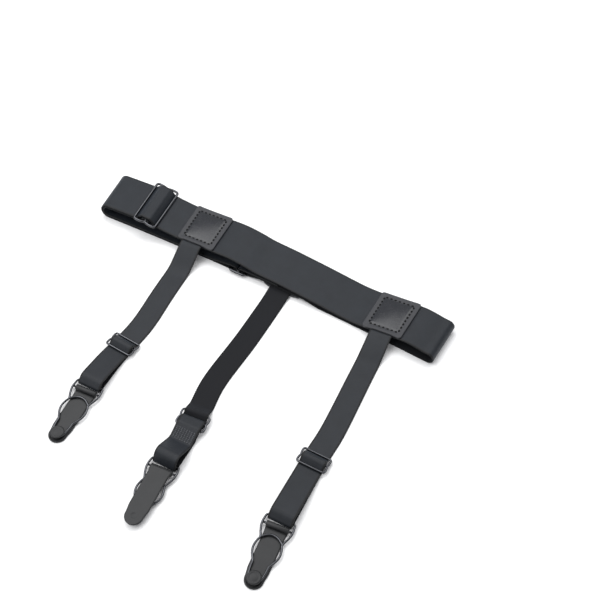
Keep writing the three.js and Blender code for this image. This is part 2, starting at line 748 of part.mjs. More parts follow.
// The frame stands in the middle of the ground that the stay covers
const cover = new THREE.Box3().setFromObject(stay);
const middle = cover.getCenter(new THREE.Vector3());
stay.position.set(-middle.x, -middle.y, -cover.min.z);
stay.updateMatrixWorld(true);

export default stay;
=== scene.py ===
"""A shirt stay lying flat on a pale surface: elastic thigh band, wire sliders, leather patches and
three garter straps that end in wire and rubber clips. Sizes are in millimetres until a mesh is made."""
import math

import bmesh
import bpy
from mathutils import Matrix, Vector


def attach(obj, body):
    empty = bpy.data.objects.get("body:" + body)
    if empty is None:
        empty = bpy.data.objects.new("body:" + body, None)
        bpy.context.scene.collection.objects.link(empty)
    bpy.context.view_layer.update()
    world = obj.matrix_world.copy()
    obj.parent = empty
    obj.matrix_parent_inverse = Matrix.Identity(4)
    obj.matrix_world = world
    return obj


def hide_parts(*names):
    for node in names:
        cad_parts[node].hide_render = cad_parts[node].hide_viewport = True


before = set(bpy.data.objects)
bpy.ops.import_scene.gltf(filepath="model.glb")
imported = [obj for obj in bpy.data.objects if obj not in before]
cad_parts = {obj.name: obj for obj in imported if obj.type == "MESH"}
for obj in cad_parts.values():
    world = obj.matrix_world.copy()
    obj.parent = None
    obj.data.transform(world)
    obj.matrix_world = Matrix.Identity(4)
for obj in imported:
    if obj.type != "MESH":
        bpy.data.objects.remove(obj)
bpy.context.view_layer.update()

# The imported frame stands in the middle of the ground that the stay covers
OFFSET = Vector((-155.52475, 91.91379, 0.0))
METRE = 1000.0

# Air between neighbouring pieces, how near two corners are made one, and sides of round shapes
GAP = 0.3
WELD = 0.002
WIRE_SIDES = 14
ROLL_SIDES = 28
LATHE_STEPS = 40

# Thigh band: its webbing, the bow and the turned left end in plan, the two folds, the bends by which
# its lower layer is lifted over the patch below, and the wave of its upper layer, in shares of its
# length and of its loft
BAND_LENGTH = 318.0
BAND_WIDTH = 40.0
BAND_THICK = 1.3
BAND_BOW = 4.3
BAND_SKEW = math.radians(4)
LEFT_FOLD_RADIUS = 6.7
RIGHT_FOLD_RADIUS = 4.9
LEFT_FOLD_BULGE = 2.3
RIGHT_FOLD_SHORT = 3.2
BAND_BEND = 6.0
BAND_RAMP = 16.0
LIFT_MARGIN = 3.0
BAND_LOFT = 12.8
UPPER_LAYER = (
    (0.192, 0.92), (0.245, 0.82), (0.31, 0.89), (0.38, 1.0), (0.43, 0.88), (0.47, 0.7), (0.53, 0.635),
    (0.575, 0.555), (0.62, 0.48), (0.66, 0.4), (0.7, 0.32), (0.745, 0.27), (0.79, 0.37), (0.85, 0.63),
    (0.91, 0.91),
)
PATH_STEP = 1.6

# The webbing's selvedge: how far it is rounded, in shares of the thickness, and where round its edge
# a corner lies
SELVEDGE_REACH = 0.62
SELVEDGE_TURNS = (0.45, 0.95, math.pi / 2, 2.19, 2.69)

# Slider of the band, with the hump of webbing over its middle bar, and ring of the band. The pitch
# runs from the middle bar to an outer one, or from one side of the ring to the other.
BAND_WIRE = 2.2
INNER_BAR_SHARE = 0.94
SLIDER_PLACE = 0.134 * BAND_LENGTH
SLIDER_PITCH = 10.2
SLIDER_HEIGHT = 15.9
SLIDER_FALL = 1.1
SLIDER_PINCH = 1.2
HUMP_RADIUS = 2.9
HUMP_SPREAD = 2.6
HUMP_RISE = 0.75
RING_PLACE = 0.419 * BAND_LENGTH
RING_PITCH = 14.0
RING_CORNER = 2.0
RING_RUN = 25.0
RING_PLAY = 3.9

# Leather patches, where each sits along the band, the groove and filled middle of their seam, the
# pocket over a strap and the rise at the front edge where the strap comes out
PATCH_LENGTH = 34.6
PATCH_WIDTH = 40.4
PATCH_THICK = 1.4
PATCH_CORNER = 3.0
PATCH_RIM = 0.35
PATCH_CELLS = (60, 68)
PATCH_PLACES = {"a": 0.55 * BAND_LENGTH, "b": 0.2865 * BAND_LENGTH, "c": 0.841 * BAND_LENGTH}
SEAM_LENGTH = 26.0
SEAM_WIDTH = 30.5
SEAM_DEPTH = 31.0
GROOVE_DEPTH = 0.12
GROOVE_WIDTH = 0.9
FILL_STEP = 0.3
FILL_RUN = 1.6
DOME_RISE = 1.15
DOME_FULLNESS = 0.8
POCKET_MARGIN = 1.5
POCKET_RUN = 4.0
LEATHER_SWELL = 0.1
FRONT_ASIDE = (6.0, 14.5)
FRONT_AHEAD = (14.5, 19.0)
STITCHES_ALONG = 7
STITCHES_ACROSS = 8
STITCH_REACH = 0.3
STITCH_WIDTH = 1.7
STITCH_HEIGHT = 0.9
STITCH_PROUD = 0.15

# Garter straps: the webbing, how it leaves the patch, its slack by the clip, its slider and its sewn
# end. A row's places along its strap are shares of the strap's length, and it strays to the side by
# shares of the strap's width.
STRAP_WIDTH = 19.0
STRAP_THICK = 1.1
STRAP_DROP = 30.0
STRAP_BEND = 6.0
STRAP_SWEEP = 25.0
STRAP_STEP_ALONG = 1.4
SLACK_RUN = 4.0
SLACK_BEND = 5.0
SLACK_FLAT = 12.0
SLACK_AIR = 0.6
CLIP_PLAY = 0.35
STRAP_WIRE = 1.7
STRAP_PITCH = 6.5
STRAP_PINCH = 0.7
STRAP_FOOT = 10.0
RETURN_FOOT = 5.0
SEWN_END = 3.2
STRAP_LENGTH = 182.0
STRAPS = (
    dict(name="1", patch="b", offset=-0.137, length=0.8407, slider=0.72, slack=7.48, face_up=True, turn=2.8,
         stray=((0.3, -0.03), (0.5, 0.0), (0.6, -0.04), (0.72, -0.18), (0.84, -0.29), (1.0, -0.35))),
    dict(name="2", patch="a", offset=-0.032, length=1.0, slider=0.784, slack=11.0, face_up=False, turn=4.4,
         stray=((0.3, -0.05), (0.56, -0.19), (0.7, -0.06), (0.78, 0.02), (0.88, 0.05), (1.0, 0.04))),
    dict(name="3", patch="c", offset=0.035, length=0.9753, slider=0.704, slack=7.7, face_up=True, turn=4.2,
         stray=((0.25, 0.2), (0.53, 0.43), (0.7, 0.45), (1.0, 0.6))),
)
for strap in STRAPS:
    strap["offset"] *= STRAP_WIDTH
    strap["length"] *= STRAP_LENGTH
    strap["slider"] *= strap["length"]

# Bartack of the turned strap: rows of zigzag sewing, and its thread
TACK_START = 3.5
TACK_LENGTH = 9.0
TACK_ROWS = 8
TACK_STITCHES = 7
TACK_STEP = 1.3
TACK_LEAN = 0.55
TACK_SPREAD = 0.74
TACK_WIDTH = 0.6
TACK_HEIGHT = 0.5

# Garter clips: outline of the wire in shares of its length and of half its width
CLIP_LENGTH = 51.2
CLIP_HALF = 11.4
CLIP_WIRE = 1.7
CLIP_OUTLINE = (
    (0.0, 0.86), (0.028, 0.96), (0.148, 1.0), (0.25, 0.88), (0.343, 0.72), (0.4, 0.8), (0.483, 0.87),
    (0.566, 0.82), (0.65, 0.64), (0.705, 0.52), (0.79, 0.5), (0.9, 0.42), (0.975, 0.22),
)
CLIP_PINCH = 0.343
CLIP_ARC = 0.0835
TONGUE_BAR = 6.6
TONGUE_THICK = 1.6
TONGUE_WALL = 1.1
TONGUE_TOP = 8.4
TONGUE_MIDDLE = 7.8
TONGUE_TIP = 6.9
TONGUE_TAPER = 7.0
TONGUE_TIP_RUN = 8.0
TONGUE_PAST_WIRE = 2.8
TONGUE_LENGTH = CLIP_LENGTH + TONGUE_PAST_WIRE
BUTTON_RADIUS = 5.3
BUTTON_THICK = 1.2
BUTTON_STEM = 2.6

# The tongue's soft edge, the low lip near its tip, the dimple under its button, how deep the button's
# stem goes in, and the rounded ends of the roll: how far in a ring stands, and its share of the radius
TONGUE_CELLS = (100, 32)
TONGUE_EDGE_FALL = 0.4
TONGUE_EDGE_RUN = 0.9
TONGUE_LIP = 0.28
TONGUE_LIP_PLACE = (38.0, 44.0)
DIMPLE_DEPTH = 0.25
DIMPLE_RIM = (1.6, 2.5)
BUTTON_ROOT = 0.5
ROLL_ENDS = ((0.0, 0.72), (0.0, 0.92), (0.35, 1.0))

# The camera as solved from the photograph, the pale room, and the softboxes: place in metres, width,
# depth and watts
CAMERA_PLACE = Vector((399.66, -455.26, 645.25))
CAMERA_AIM = Vector((-0.2521, 0.5619, -0.7878))
CAMERA_ROLL = math.radians(4.98)
CAMERA_LENS = 59.52
CAMERA_FILM = 36.0
FLOOR_HALF = 2.2
SKY_STRENGTH = 0.55
SOFTBOXES = (
    ("back_softbox", (-0.3, 0.75, 1.45), 2.0, 0.8, 18.0),
    ("top_softbox", (-0.7, -0.5, 1.35), 1.5, 1.2, 16.0),
)

# What follows from these: a layer's height, the middle of webbing that lies on a wire, and the middle
# of the lower layer where the patch and the strap lie under it
BAND_STEP = BAND_THICK + GAP
STRAP_STEP = STRAP_THICK + GAP
BAND_ON_WIRE = BAND_WIRE / 2 + GAP + BAND_THICK / 2
STRAP_ON_WIRE = STRAP_WIRE / 2 + GAP + STRAP_THICK / 2
STRAP_ON_CLIP = CLIP_WIRE / 2 + GAP + STRAP_THICK / 2
LIFTED = PATCH_THICK + GAP + STRAP_STEP + BAND_THICK / 2


def smooth(x, low, high):
    """Goes softly from 0 at low to 1 at high"""
    share = min(1.0, max(0.0, (x - low) / (high - low)))
    return share * share * (3 - 2 * share)


def spline(points, count):
    """Evenly counted places on a curve through the points"""
    out = []
    for k in range(count + 1):
        place = (len(points) - 1) * k / count
        i = min(int(place), len(points) - 2)
        t = place - i
        p0, p1 = points[max(i - 1, 0)], points[i]
        p2, p3 = points[i + 1], points[min(i + 2, len(points) - 1)]
        v0, v1 = (p2 - p0) / 2, (p3 - p1) / 2
        out.append(
            (2 * p1 - 2 * p2 + v0 + v1) * t ** 3 + (3 * p2 - 3 * p1 - 2 * v0 - v1) * t * t + v0 * t + p1
        )
    return out


def table_value(points, x):
    """Height of a fine polyline at x"""
    for a, b in zip(points, points[1:]):
        if b.x >= x:
            return a.y + (b.y - a.y) * (x - a.x) / (b.x - a.x)
    return points[-1].y


def belt(stops, longest):
    """Path in a vertical plane that runs tangent from circle to circle. A stop is x, z and radius:
    a positive radius has its centre on the left of the path, a negative one on its right."""
    headings = []
    for a, b in zip(stops, stops[1:]):
        lean = max(-1.0, min(1.0, (b[2] - a[2]) / math.hypot(b[0] - a[0], b[1] - a[1])))
        headings.append(math.atan2(b[1] - a[1], b[0] - a[0]) - math.asin(lean))
    corners = []
    for i, (x, z, r) in enumerate(stops):
        arrive = headings[max(i - 1, 0)]
        turn = headings[min(i, len(headings) - 1)] - arrive
        side = (r > 0) - (r < 0)
        if side:
            turn = side * ((side * turn + math.pi / 2) % (2 * math.pi) - math.pi / 2)
        steps = max(2, math.ceil(abs(turn) / math.radians(7))) if side else 0
        for k in range(steps + 1):
            heading = arrive + (turn * k / steps if steps else 0.0)
            corners.append(Vector((x + r * math.sin(heading), z - r * math.cos(heading))))
    path = [corners[0]]
    for corner in corners[1:]:
        run = (corner - path[-1]).length
        if run < 0.06:
            continue
        start = path[-1]
        pieces = max(1, math.ceil(run / longest))
        path.extend(start.lerp(corner, k / pieces) for k in range(1, pieces + 1))
    return path


def band_angle(x):
    """Heading of the band in plan, where it is x along"""
    share = x / BAND_LENGTH
    return math.atan(4 * BAND_BOW * (1 - 2 * share) / BAND_LENGTH) + BAND_SKEW * (1 - share)


def on_band(x, y, z):
    """Where a point of the straight band lies, bowed in plan and with its left end turned"""
    share = x / BAND_LENGTH
    angle = band_angle(x)
    across = y - BAND_WIDTH / 2
    bow = 4 * BAND_BOW * share * (1 - share)
    return Vector((x - math.sin(angle) * across, BAND_WIDTH / 2 + bow + math.cos(angle) * across, z))


FOLD_LEFT = (LEFT_FOLD_RADIUS - LEFT_FOLD_BULGE, LEFT_FOLD_RADIUS + BAND_THICK / 2)
FOLD_RIGHT = (BAND_LENGTH - RIGHT_FOLD_SHORT - RIGHT_FOLD_RADIUS, RIGHT_FOLD_RADIUS + BAND_THICK / 2)
RING_HEIGHT = BAND_THICK / 2 + BAND_ON_WIRE
UPPER = spline(
    [Vector((SLIDER_PLACE + SLIDER_PITCH + 2, SLIDER_HEIGHT - SLIDER_FALL - BAND_ON_WIRE))]
    + [Vector((along * BAND_LENGTH, height * BAND_LOFT)) for along, height in UPPER_LAYER]
    + [Vector((FOLD_RIGHT[0] - 4, FOLD_RIGHT[1] + RIGHT_FOLD_RADIUS))],
    260,
)


def upper_height(x):
    """Height of the upper layer's middle, past the slider"""
    return table_value(UPPER, x)


def band_path():
    """The whole strip of the band: from its end sewn round the slider's middle bar, by the inner side
    of the left fold to the ring, back outside it and through the slider, then by the right fold to
    its other end on the ring"""
    start = PATCH_PLACES["a"] - PATCH_LENGTH / 2 - LIFT_MARGIN
    end = PATCH_PLACES["a"] + PATCH_LENGTH / 2 + LIFT_MARGIN
    low = BAND_THICK / 2
    middle = (SLIDER_PLACE, SLIDER_HEIGHT)
    left = (SLIDER_PLACE - SLIDER_PITCH, SLIDER_HEIGHT + SLIDER_FALL)
    right = (SLIDER_PLACE + SLIDER_PITCH, SLIDER_HEIGHT - SLIDER_FALL)
    lean = HUMP_SPREAD / SLIDER_PITCH * SLIDER_FALL
    crest = SLIDER_HEIGHT + HUMP_RISE
    return belt(
        [
            (SLIDER_PLACE - 1.75 * BAND_ON_WIRE, SLIDER_HEIGHT + BAND_STEP / 2, 0),
            (*middle, -BAND_ON_WIRE),
            (*left, -(BAND_ON_WIRE + BAND_STEP + 0.05)),
            (*FOLD_LEFT, LEFT_FOLD_RADIUS - BAND_STEP - 0.05),
            (RING_PLACE - RING_RUN, low + BAND_STEP + BAND_BEND, BAND_BEND),
            (RING_PLACE - RING_PITCH / 2, RING_HEIGHT, -BAND_ON_WIRE),
            (RING_PLACE - RING_PITCH / 2 + RING_PLAY, RING_HEIGHT, -BAND_ON_WIRE),
            (*FOLD_LEFT, -LEFT_FOLD_RADIUS),
            (*left, BAND_ON_WIRE),
            (SLIDER_PLACE - HUMP_SPREAD, crest + lean, -HUMP_RADIUS),
            (SLIDER_PLACE + HUMP_SPREAD, crest - lean, -HUMP_RADIUS),
            (*right, BAND_ON_WIRE),
        ]
        + [(point.x, point.y, 0) for point in UPPER]
        + [
            (*FOLD_RIGHT, -RIGHT_FOLD_RADIUS),
            (end + BAND_RAMP, low + BAND_BEND, -BAND_BEND),
            (end, LIFTED - BAND_BEND, BAND_BEND),
            (start, LIFTED - BAND_BEND, BAND_BEND),
            (RING_PLACE + RING_PITCH / 2, RING_HEIGHT, -BAND_ON_WIRE),
            (RING_PLACE + RING_PITCH / 2 - RING_PLAY, RING_HEIGHT, -BAND_ON_WIRE),
            (start, LIFTED - BAND_BEND, -(BAND_BEND + BAND_STEP)),
            (PATCH_PLACES["a"] - LIFT_MARGIN, LIFTED + BAND_STEP, 0),
        ],
        PATH_STEP,
    )


class StrapPlan:
    """A strap's own axis on the ground, and how it strays from a straight line"""

    def __init__(self, row):
        self.row = row
        self.x = PATCH_PLACES[row["patch"]] + row["offset"]
        self.root = on_band(self.x, 0.0, 0.0)
        self.turn = band_angle(self.x)
        points = [Vector((0.0, 0.0))]
        points += [Vector((along * row["length"], aside * STRAP_WIDTH)) for along, aside in row["stray"]]
        self.line = spline(points, 200)
        last, before = self.line[-1], self.line[-16]
        self.end_slope = (last.y - before.y) / (last.x - before.x)

    def aside(self, u):
        """How far the strap has strayed where it is u along"""
        last = self.line[-1]
        if u <= 0:
            return 0.0
        if u >= last.x:
            return last.y + (u - last.x) * self.end_slope
        return table_value(self.line, u)

    def lean(self, u):
        return math.atan((self.aside(u + 2) - self.aside(u - 2)) / 4)

    def at(self, u, v, z=0.0):
        """A point u along the strap and v across it, at height z"""
        slope = self.lean(u)
        side = self.aside(u) + v * math.cos(slope)
        ahead = u - v * math.sin(slope)
        c, s = math.cos(self.turn), math.sin(self.turn)
        return Vector((self.root.x + side * c + ahead * s, self.root.y + side * s - ahead * c, z))

    def cloth(self, u, v, z):
        """A point of the strap, which leans with the band's layer where it leaves the patch"""
        tilt = 0.0
        if self.row["face_up"]:
            share = 1 - smooth(u, 0, STRAP_DROP)
            tilt = (upper_height(self.x + v) - upper_height(self.x)) * share
        return self.at(u, v, z + tilt)

    def level(self, along, height, tilt=0.0, turn=0.0):
        """Places a level piece that was made along +X"""
        angle = self.turn + self.lean(along) + math.radians(turn) - math.pi / 2
        spot = self.at(along, 0.0, height)
        return Matrix.Translation(spot) @ Matrix.Rotation(angle, 4, "Z") @ Matrix.Rotation(tilt, 4, "Y")


def strap_path(row):
    """A strap from under its patch through its slider to the clip and back to its sewn end, in the
    upright plane of its own axis"""
    rest = STRAP_THICK / 2
    turn = STRAP_ON_CLIP + CLIP_PLAY
    clip = (row["length"] + 2 * CLIP_PLAY, rest + turn)
    slack_place = row["length"] - SLACK_RUN
    bar = row["slider"]
    if row["face_up"]:
        start = upper_height(PATCH_PLACES[row["patch"]] + row["offset"]) + BAND_THICK / 2 + GAP + rest
        low = rest + STRAP_ON_WIRE
        middle = low + STRAP_STEP / 2
        stops = [
            (-SEAM_DEPTH, start, 0),
            (PATCH_THICK, start - STRAP_BEND, -STRAP_BEND),
            (STRAP_DROP, rest + STRAP_SWEEP, STRAP_SWEEP),
            (bar - STRAP_PITCH, low, STRAP_ON_WIRE),
            (bar, middle, -(STRAP_ON_WIRE + STRAP_STEP)),
            (bar + STRAP_PITCH, low + STRAP_STEP, STRAP_ON_WIRE),
            (slack_place, row["slack"] - SLACK_BEND, -SLACK_BEND),
            (*clip, -turn),
            (bar + RETURN_FOOT, rest, 0),
            (bar, middle, -STRAP_ON_WIRE),
            (bar + SEWN_END, rest + STRAP_STEP + GAP, 0),
        ]
    else:
        start = PATCH_THICK + GAP + rest
        level = rest + STRAP_ON_WIRE + STRAP_STEP
        stops = [
            (-SEAM_DEPTH, start, 0),
            (0, start - STRAP_BEND, -STRAP_BEND),
            (STRAP_DROP / 2, rest + STRAP_BEND, STRAP_BEND),
            (bar - STRAP_PITCH - STRAP_FOOT, rest + STRAP_BEND, STRAP_BEND),
            (bar - STRAP_PITCH, level, -STRAP_ON_WIRE),
            (bar, level, STRAP_ON_WIRE + STRAP_STEP),
            (bar + STRAP_PITCH, level, -STRAP_ON_WIRE),
            (bar + STRAP_PITCH + STRAP_FOOT, rest + STRAP_BEND, STRAP_BEND),
            (*clip, turn),
            (slack_place, row["slack"] - SLACK_BEND, SLACK_BEND),
            (bar + STRAP_PITCH + SLACK_FLAT, rest + STRAP_STEP + SLACK_AIR + STRAP_BEND, -STRAP_BEND),
            (bar + STRAP_PITCH, level, STRAP_ON_WIRE + STRAP_STEP),
            (bar, level, STRAP_ON_WIRE),
            (bar + SEWN_END, level + rest, 0),
        ]
    return belt(stops, STRAP_STEP_ALONG)


def linear(code):
    """sRGB hex to the linear values that shaders use"""
    values = [int(code[i:i + 2], 16) / 255 for i in (0, 2, 4)]
    return tuple(v / 12.92 if v <= 0.04045 else ((v + 0.055) / 1.055) ** 2.4 for v in values) + (1.0,)


def add(tree, kind, settings=None, values=None, links=None):
    """Adds a node, with its settings, the values of its sockets and the links to them"""
    made = tree.nodes.new(kind)
    for name, value in (settings or {}).items():
        setattr(made, name, value)
    for name, value in (values or {}).items():
        made.inputs[name].default_value = value
    for name, source in (links or {}).items():
        tree.links.new(source, made.inputs[name])
    return made


# A Mix node takes its share at socket 0. Of numbers it mixes sockets 2 and 3 to output 0, and of
# colours sockets 6 and 7 to output 2.
OF_NUMBERS = {"data_type": "FLOAT"}
OF_COLOURS = {"data_type": "RGBA"}


def material(name):
    """An empty material and its tree of nodes"""
    made = bpy.data.materials.new(name)
    made.use_nodes = True
    made.node_tree.nodes.clear()
    return made, made.node_tree


def finish_material(tree, shader):
    out = add(tree, "ShaderNodeOutputMaterial")
    tree.links.new(shader.outputs[0], out.inputs[0])


def sine_of(tree, source, pitch, shift=None):
    """Rounded ridges, 0 to 1, one for each pitch in millimetres"""
    scaled = add(tree, "ShaderNodeMath", {"operation": "MULTIPLY"}, {1: math.pi / pitch}, {0: source})
    place = scaled.outputs[0]
    if shift is not None:
        place = add(tree, "ShaderNodeMath", {"operation": "ADD"}, None, {0: place, 1: shift}).outputs[0]
    wave = add(tree, "ShaderNodeMath", {"operation": "SINE"}, None, {0: place})
    return add(tree, "ShaderNodeMath", {"operation": "ABSOLUTE"}, None, {0: wave.outputs[0]}).outputs[0]


RIB_PITCH = 1.1
THREAD_PITCH = 0.8
SELVEDGE_INNER = 1.7
SELVEDGE_OUTER = 1.1


def elastic_webbing(name, width, shade, light):
    """Woven elastic of polyester and rubber, satin black. The high places of its cross ribs, 1.1 mm apart,
    and of its warp threads, 0.8 mm apart, are painted a lighter blue grey as a painted sheen, mixed
    with a tone that varies at random by fibres of 0.4 mm and by soft clouds of about 11 mm. Its selvedges
    stay darker and plain. The rubber's side, which the map "face" gives as 0, is duller and deeper black."""
    made, tree = material(name)
    uv = add(tree, "ShaderNodeUVMap", {"uv_map": "cloth"})
    split = add(tree, "ShaderNodeSeparateXYZ", None, None, {0: uv.outputs[0]})
    along, across = split.outputs[0], split.outputs[1]
    count = add(tree, "ShaderNodeMath", {"operation": "MULTIPLY"}, {1: 1 / THREAD_PITCH}, {0: across})
    row = add(tree, "ShaderNodeMath", {"operation": "FLOOR"}, None, {0: count.outputs[0]})
    shift = add(tree, "ShaderNodeMath", {"operation": "MULTIPLY"}, {1: math.pi / 2}, {0: row.outputs[0]})
    ribs = sine_of(tree, along, RIB_PITCH, shift.outputs[0])
    threads = sine_of(tree, across, THREAD_PITCH)
    weave = add(tree, "ShaderNodeMix", OF_NUMBERS, {0: 0.35}, {2: ribs, 3: threads})
    edge = add(tree, "ShaderNodeMath", {"operation": "ABSOLUTE"}, None, {0: across})
    selvedge = add(
        tree, "ShaderNodeMapRange", {"interpolation_type": "SMOOTHSTEP"},
        {1: width / 2 - SELVEDGE_INNER, 2: width / 2 - SELVEDGE_OUTER, 3: 0.0, 4: 1.0},
        {0: edge.outputs[0]},
    )
    fibre = add(
        tree, "ShaderNodeTexNoise", None, {"Scale": 2.6, "Detail": 3.0, "Roughness": 0.6},
        {0: uv.outputs[0]},
    )
    cloud = add(tree, "ShaderNodeTexNoise", None, {"Scale": 0.09, "Detail": 3.0}, {0: uv.outputs[0]})
    # Painted sheen: the weave's high places get the lighter colour, and fibres and clouds add a tone that
    # varies at random
    sheen_and_tone = add(tree, "ShaderNodeMix", OF_NUMBERS, {0: 0.4}, {2: weave.outputs[0], 3: fibre.outputs[0]})
    sheen_and_tone = add(tree, "ShaderNodeMix", OF_NUMBERS, {0: 0.5}, {2: sheen_and_tone.outputs[0], 3: cloud.outputs[0]})
    lit = add(
        tree, "ShaderNodeMix", OF_COLOURS, {6: linear(shade), 7: linear(light)}, {0: sheen_and_tone.outputs[0]},
    )
    face_map = add(tree, "ShaderNodeUVMap", {"uv_map": "face"})
    face = add(tree, "ShaderNodeSeparateXYZ", None, None, {0: face_map.outputs[0]}).outputs[0]
    sides = add(
        tree, "ShaderNodeMix", OF_COLOURS, {6: linear("111216")}, {0: face, 7: lit.outputs[2]},
    )
    plain = add(
        tree, "ShaderNodeMix", OF_COLOURS, {7: linear("0c0d0f")},
        {0: selvedge.outputs[0], 6: sides.outputs[2]},
    )
    satin = add(
        tree, "ShaderNodeMapRange", None, {1: 0.0, 2: 1.0, 3: 0.62, 4: 0.46}, {0: weave.outputs[0]},
    )
    rough = add(tree, "ShaderNodeMix", OF_NUMBERS, {2: 0.82}, {0: face, 3: satin.outputs[0]})
    bump = add(
        tree, "ShaderNodeBump", None, {"Strength": 0.55, "Distance": 0.00016},
        {"Height": weave.outputs[0]},
    )
    shader = add(
        tree, "ShaderNodeBsdfPrincipled", None,
        {
            "Sheen Weight": 0.07, "Sheen Roughness": 0.45, "Sheen Tint": linear("b9cbdf"),
            "Specular IOR Level": 0.3,
        },
        {"Base Color": plain.outputs[2], "Roughness": rough.outputs[0], "Normal": bump.outputs[0]},
    )
    finish_material(tree, shader)
    return made


def grain_leather():
    """Smooth calf leather, dyed black. Its filled middle is polished and glossy with soft creases, and the
    flat rim outside the seam is a dull charcoal with a fine pebble of about 0.7 mm. The middle is painted
    darker and the rim lighter: painted shade and light, for the light that the flat rim catches.
    The map "seam" holds how far a place lies inside the seam, in millimetres."""
    made, tree = material("black_grain_leather")
    place = add(tree, "ShaderNodeTexCoord").outputs["Object"]
    uv = add(tree, "ShaderNodeUVMap", {"uv_map": "seam"})
    split = add(tree, "ShaderNodeSeparateXYZ", None, None, {0: uv.outputs[0]})
    middle = add(
        tree, "ShaderNodeMapRange", {"interpolation_type": "SMOOTHSTEP"}, {1: -0.5, 2: 1.0, 3: 0.0, 4: 1.0},
        {0: split.outputs[0]},
    ).outputs[0]
    pebble = add(
        tree, "ShaderNodeTexVoronoi", {"feature": "SMOOTH_F1"}, {"Scale": 1400.0, "Smoothness": 0.6},
        {0: place},
    )
    crease = add(
        tree, "ShaderNodeTexNoise", None, {"Scale": 160.0, "Detail": 4.0, "Roughness": 0.6}, {0: place},
    )
    height = add(
        tree, "ShaderNodeMix", OF_NUMBERS, {0: 0.45}, {2: pebble.outputs[0], 3: crease.outputs[0]},
    )
    rim = add(
        tree, "ShaderNodeMix", OF_COLOURS, {6: linear("2b2c2f"), 7: linear("3b3c40")},
        {0: pebble.outputs[0]},
    )
    # Painted shade: the middle inside the seam is painted darker than the lighter, pebbled rim
    colour = add(
        tree, "ShaderNodeMix", OF_COLOURS, {7: linear("1f2126")}, {0: middle, 6: rim.outputs[2]},
    )
    rough = add(tree, "ShaderNodeMapRange", None, {1: 0.2, 2: 0.8, 3: 0.22, 4: 0.32}, {0: crease.outputs[0]})
    finish = add(
        tree, "ShaderNodeMix", OF_NUMBERS, {2: 0.6}, {0: middle, 3: rough.outputs[0]},
    )
    bump = add(
        tree, "ShaderNodeBump", None, {"Strength": 0.2, "Distance": 0.0001},
        {"Height": height.outputs[0]},
    )
    shader = add(
        tree, "ShaderNodeBsdfPrincipled", None, {"Specular IOR Level": 0.42},
        {"Base Color": colour.outputs[2], "Roughness": finish.outputs[0], "Normal": bump.outputs[0]},
    )
    finish_material(tree, shader)
    return made


def black_nickel():
    """Steel wire, bent and plated with black nickel. Dark mirror with white lines of light, and
    faint draw marks that spread them."""
    made, tree = material("black_nickel_wire")
    place = add(tree, "ShaderNodeTexCoord").outputs["Object"]
    marks = add(tree, "ShaderNodeTexNoise", None, {"Scale": 900.0, "Detail": 3.0}, {0: place})
    colour = add(
        tree, "ShaderNodeMix", OF_COLOURS, {6: linear("424346"), 7: linear("505154")},
        {0: marks.outputs[0]},
    )
    rough = add(tree, "ShaderNodeMapRange", None, {1: 0.3, 2: 0.7, 3: 0.11, 4: 0.16}, {0: marks.outputs[0]})
    shader = add(
        tree, "ShaderNodeBsdfPrincipled", None, {"Metallic": 1.0},
        {"Base Color": colour.outputs[2], "Roughness": rough.outputs[0]},
    )
    finish_material(tree, shader)
    return made


def moulded_rubber():
    """Nitrile rubber, moulded in an eroded tool. Dull dark grey with a fine, even grain of 0.3 mm."""
    made, tree = material("black_moulded_rubber")
    place = add(tree, "ShaderNodeTexCoord").outputs["Object"]
    grain = add(tree, "ShaderNodeTexNoise", None, {"Scale": 3200.0, "Detail": 2.0}, {0: place})
    wear = add(tree, "ShaderNodeTexNoise", None, {"Scale": 120.0, "Detail": 3.0}, {0: place})
    colour = add(
        tree, "ShaderNodeMix", OF_COLOURS, {6: linear("151618"), 7: linear("1f2022")},
        {0: wear.outputs[0]},
    )
    bump = add(
        tree, "ShaderNodeBump", None, {"Strength": 0.3, "Distance": 0.00006},
        {"Height": grain.outputs[0]},
    )
    shader = add(
        tree, "ShaderNodeBsdfPrincipled", None, {"Roughness": 0.5, "Specular IOR Level": 0.42},
        {"Base Color": colour.outputs[2], "Normal": bump.outputs[0]},
    )
    finish_material(tree, shader)
    return made


def sewing_thread(name, shade, light, gloss):
    """Bonded nylon sewing thread, twisted. Deep black in the leather's seams. In a bartack the same black
    thread is painted a lighter grey, a painted highlight where its zigzag catches the light, and has more
    gloss."""
    made, tree = material(name)
    place = add(tree, "ShaderNodeTexCoord").outputs["Object"]
    twist = add(tree, "ShaderNodeTexNoise", None, {"Scale": 2500.0, "Detail": 1.0}, {0: place})
    colour = add(
        tree, "ShaderNodeMix", OF_COLOURS, {6: linear(shade), 7: linear(light)},
        {0: twist.outputs[0]},
    )
    bump = add(
        tree, "ShaderNodeBump", None, {"Strength": 0.5, "Distance": 0.0001},
        {"Height": twist.outputs[0]},
    )
    shader = add(
        tree, "ShaderNodeBsdfPrincipled", None, {"Roughness": 0.5, "Specular IOR Level": gloss},
        {"Base Color": colour.outputs[2], "Normal": bump.outputs[0]},
    )
    finish_material(tree, shader)
    return made


BAND_CLOTH = elastic_webbing("black_elastic_webbing_40mm", BAND_WIDTH, "0c0f13", "20252c")
STRAP_CLOTH = elastic_webbing("black_elastic_webbing_19mm", STRAP_WIDTH, "0e1014", "22262c")
LEATHER = grain_leather()
WIRE = black_nickel()
RUBBER = moulded_rubber()
SEAM_THREAD = sewing_thread("black_bonded_thread", "020203", "060607", 0.12)
# The bartack's black thread is painted grey: a painted highlight for its gloss
TACK_THREAD = sewing_thread("black_bonded_thread_painted_highlight", "3c3e42", "5e6065", 0.5)


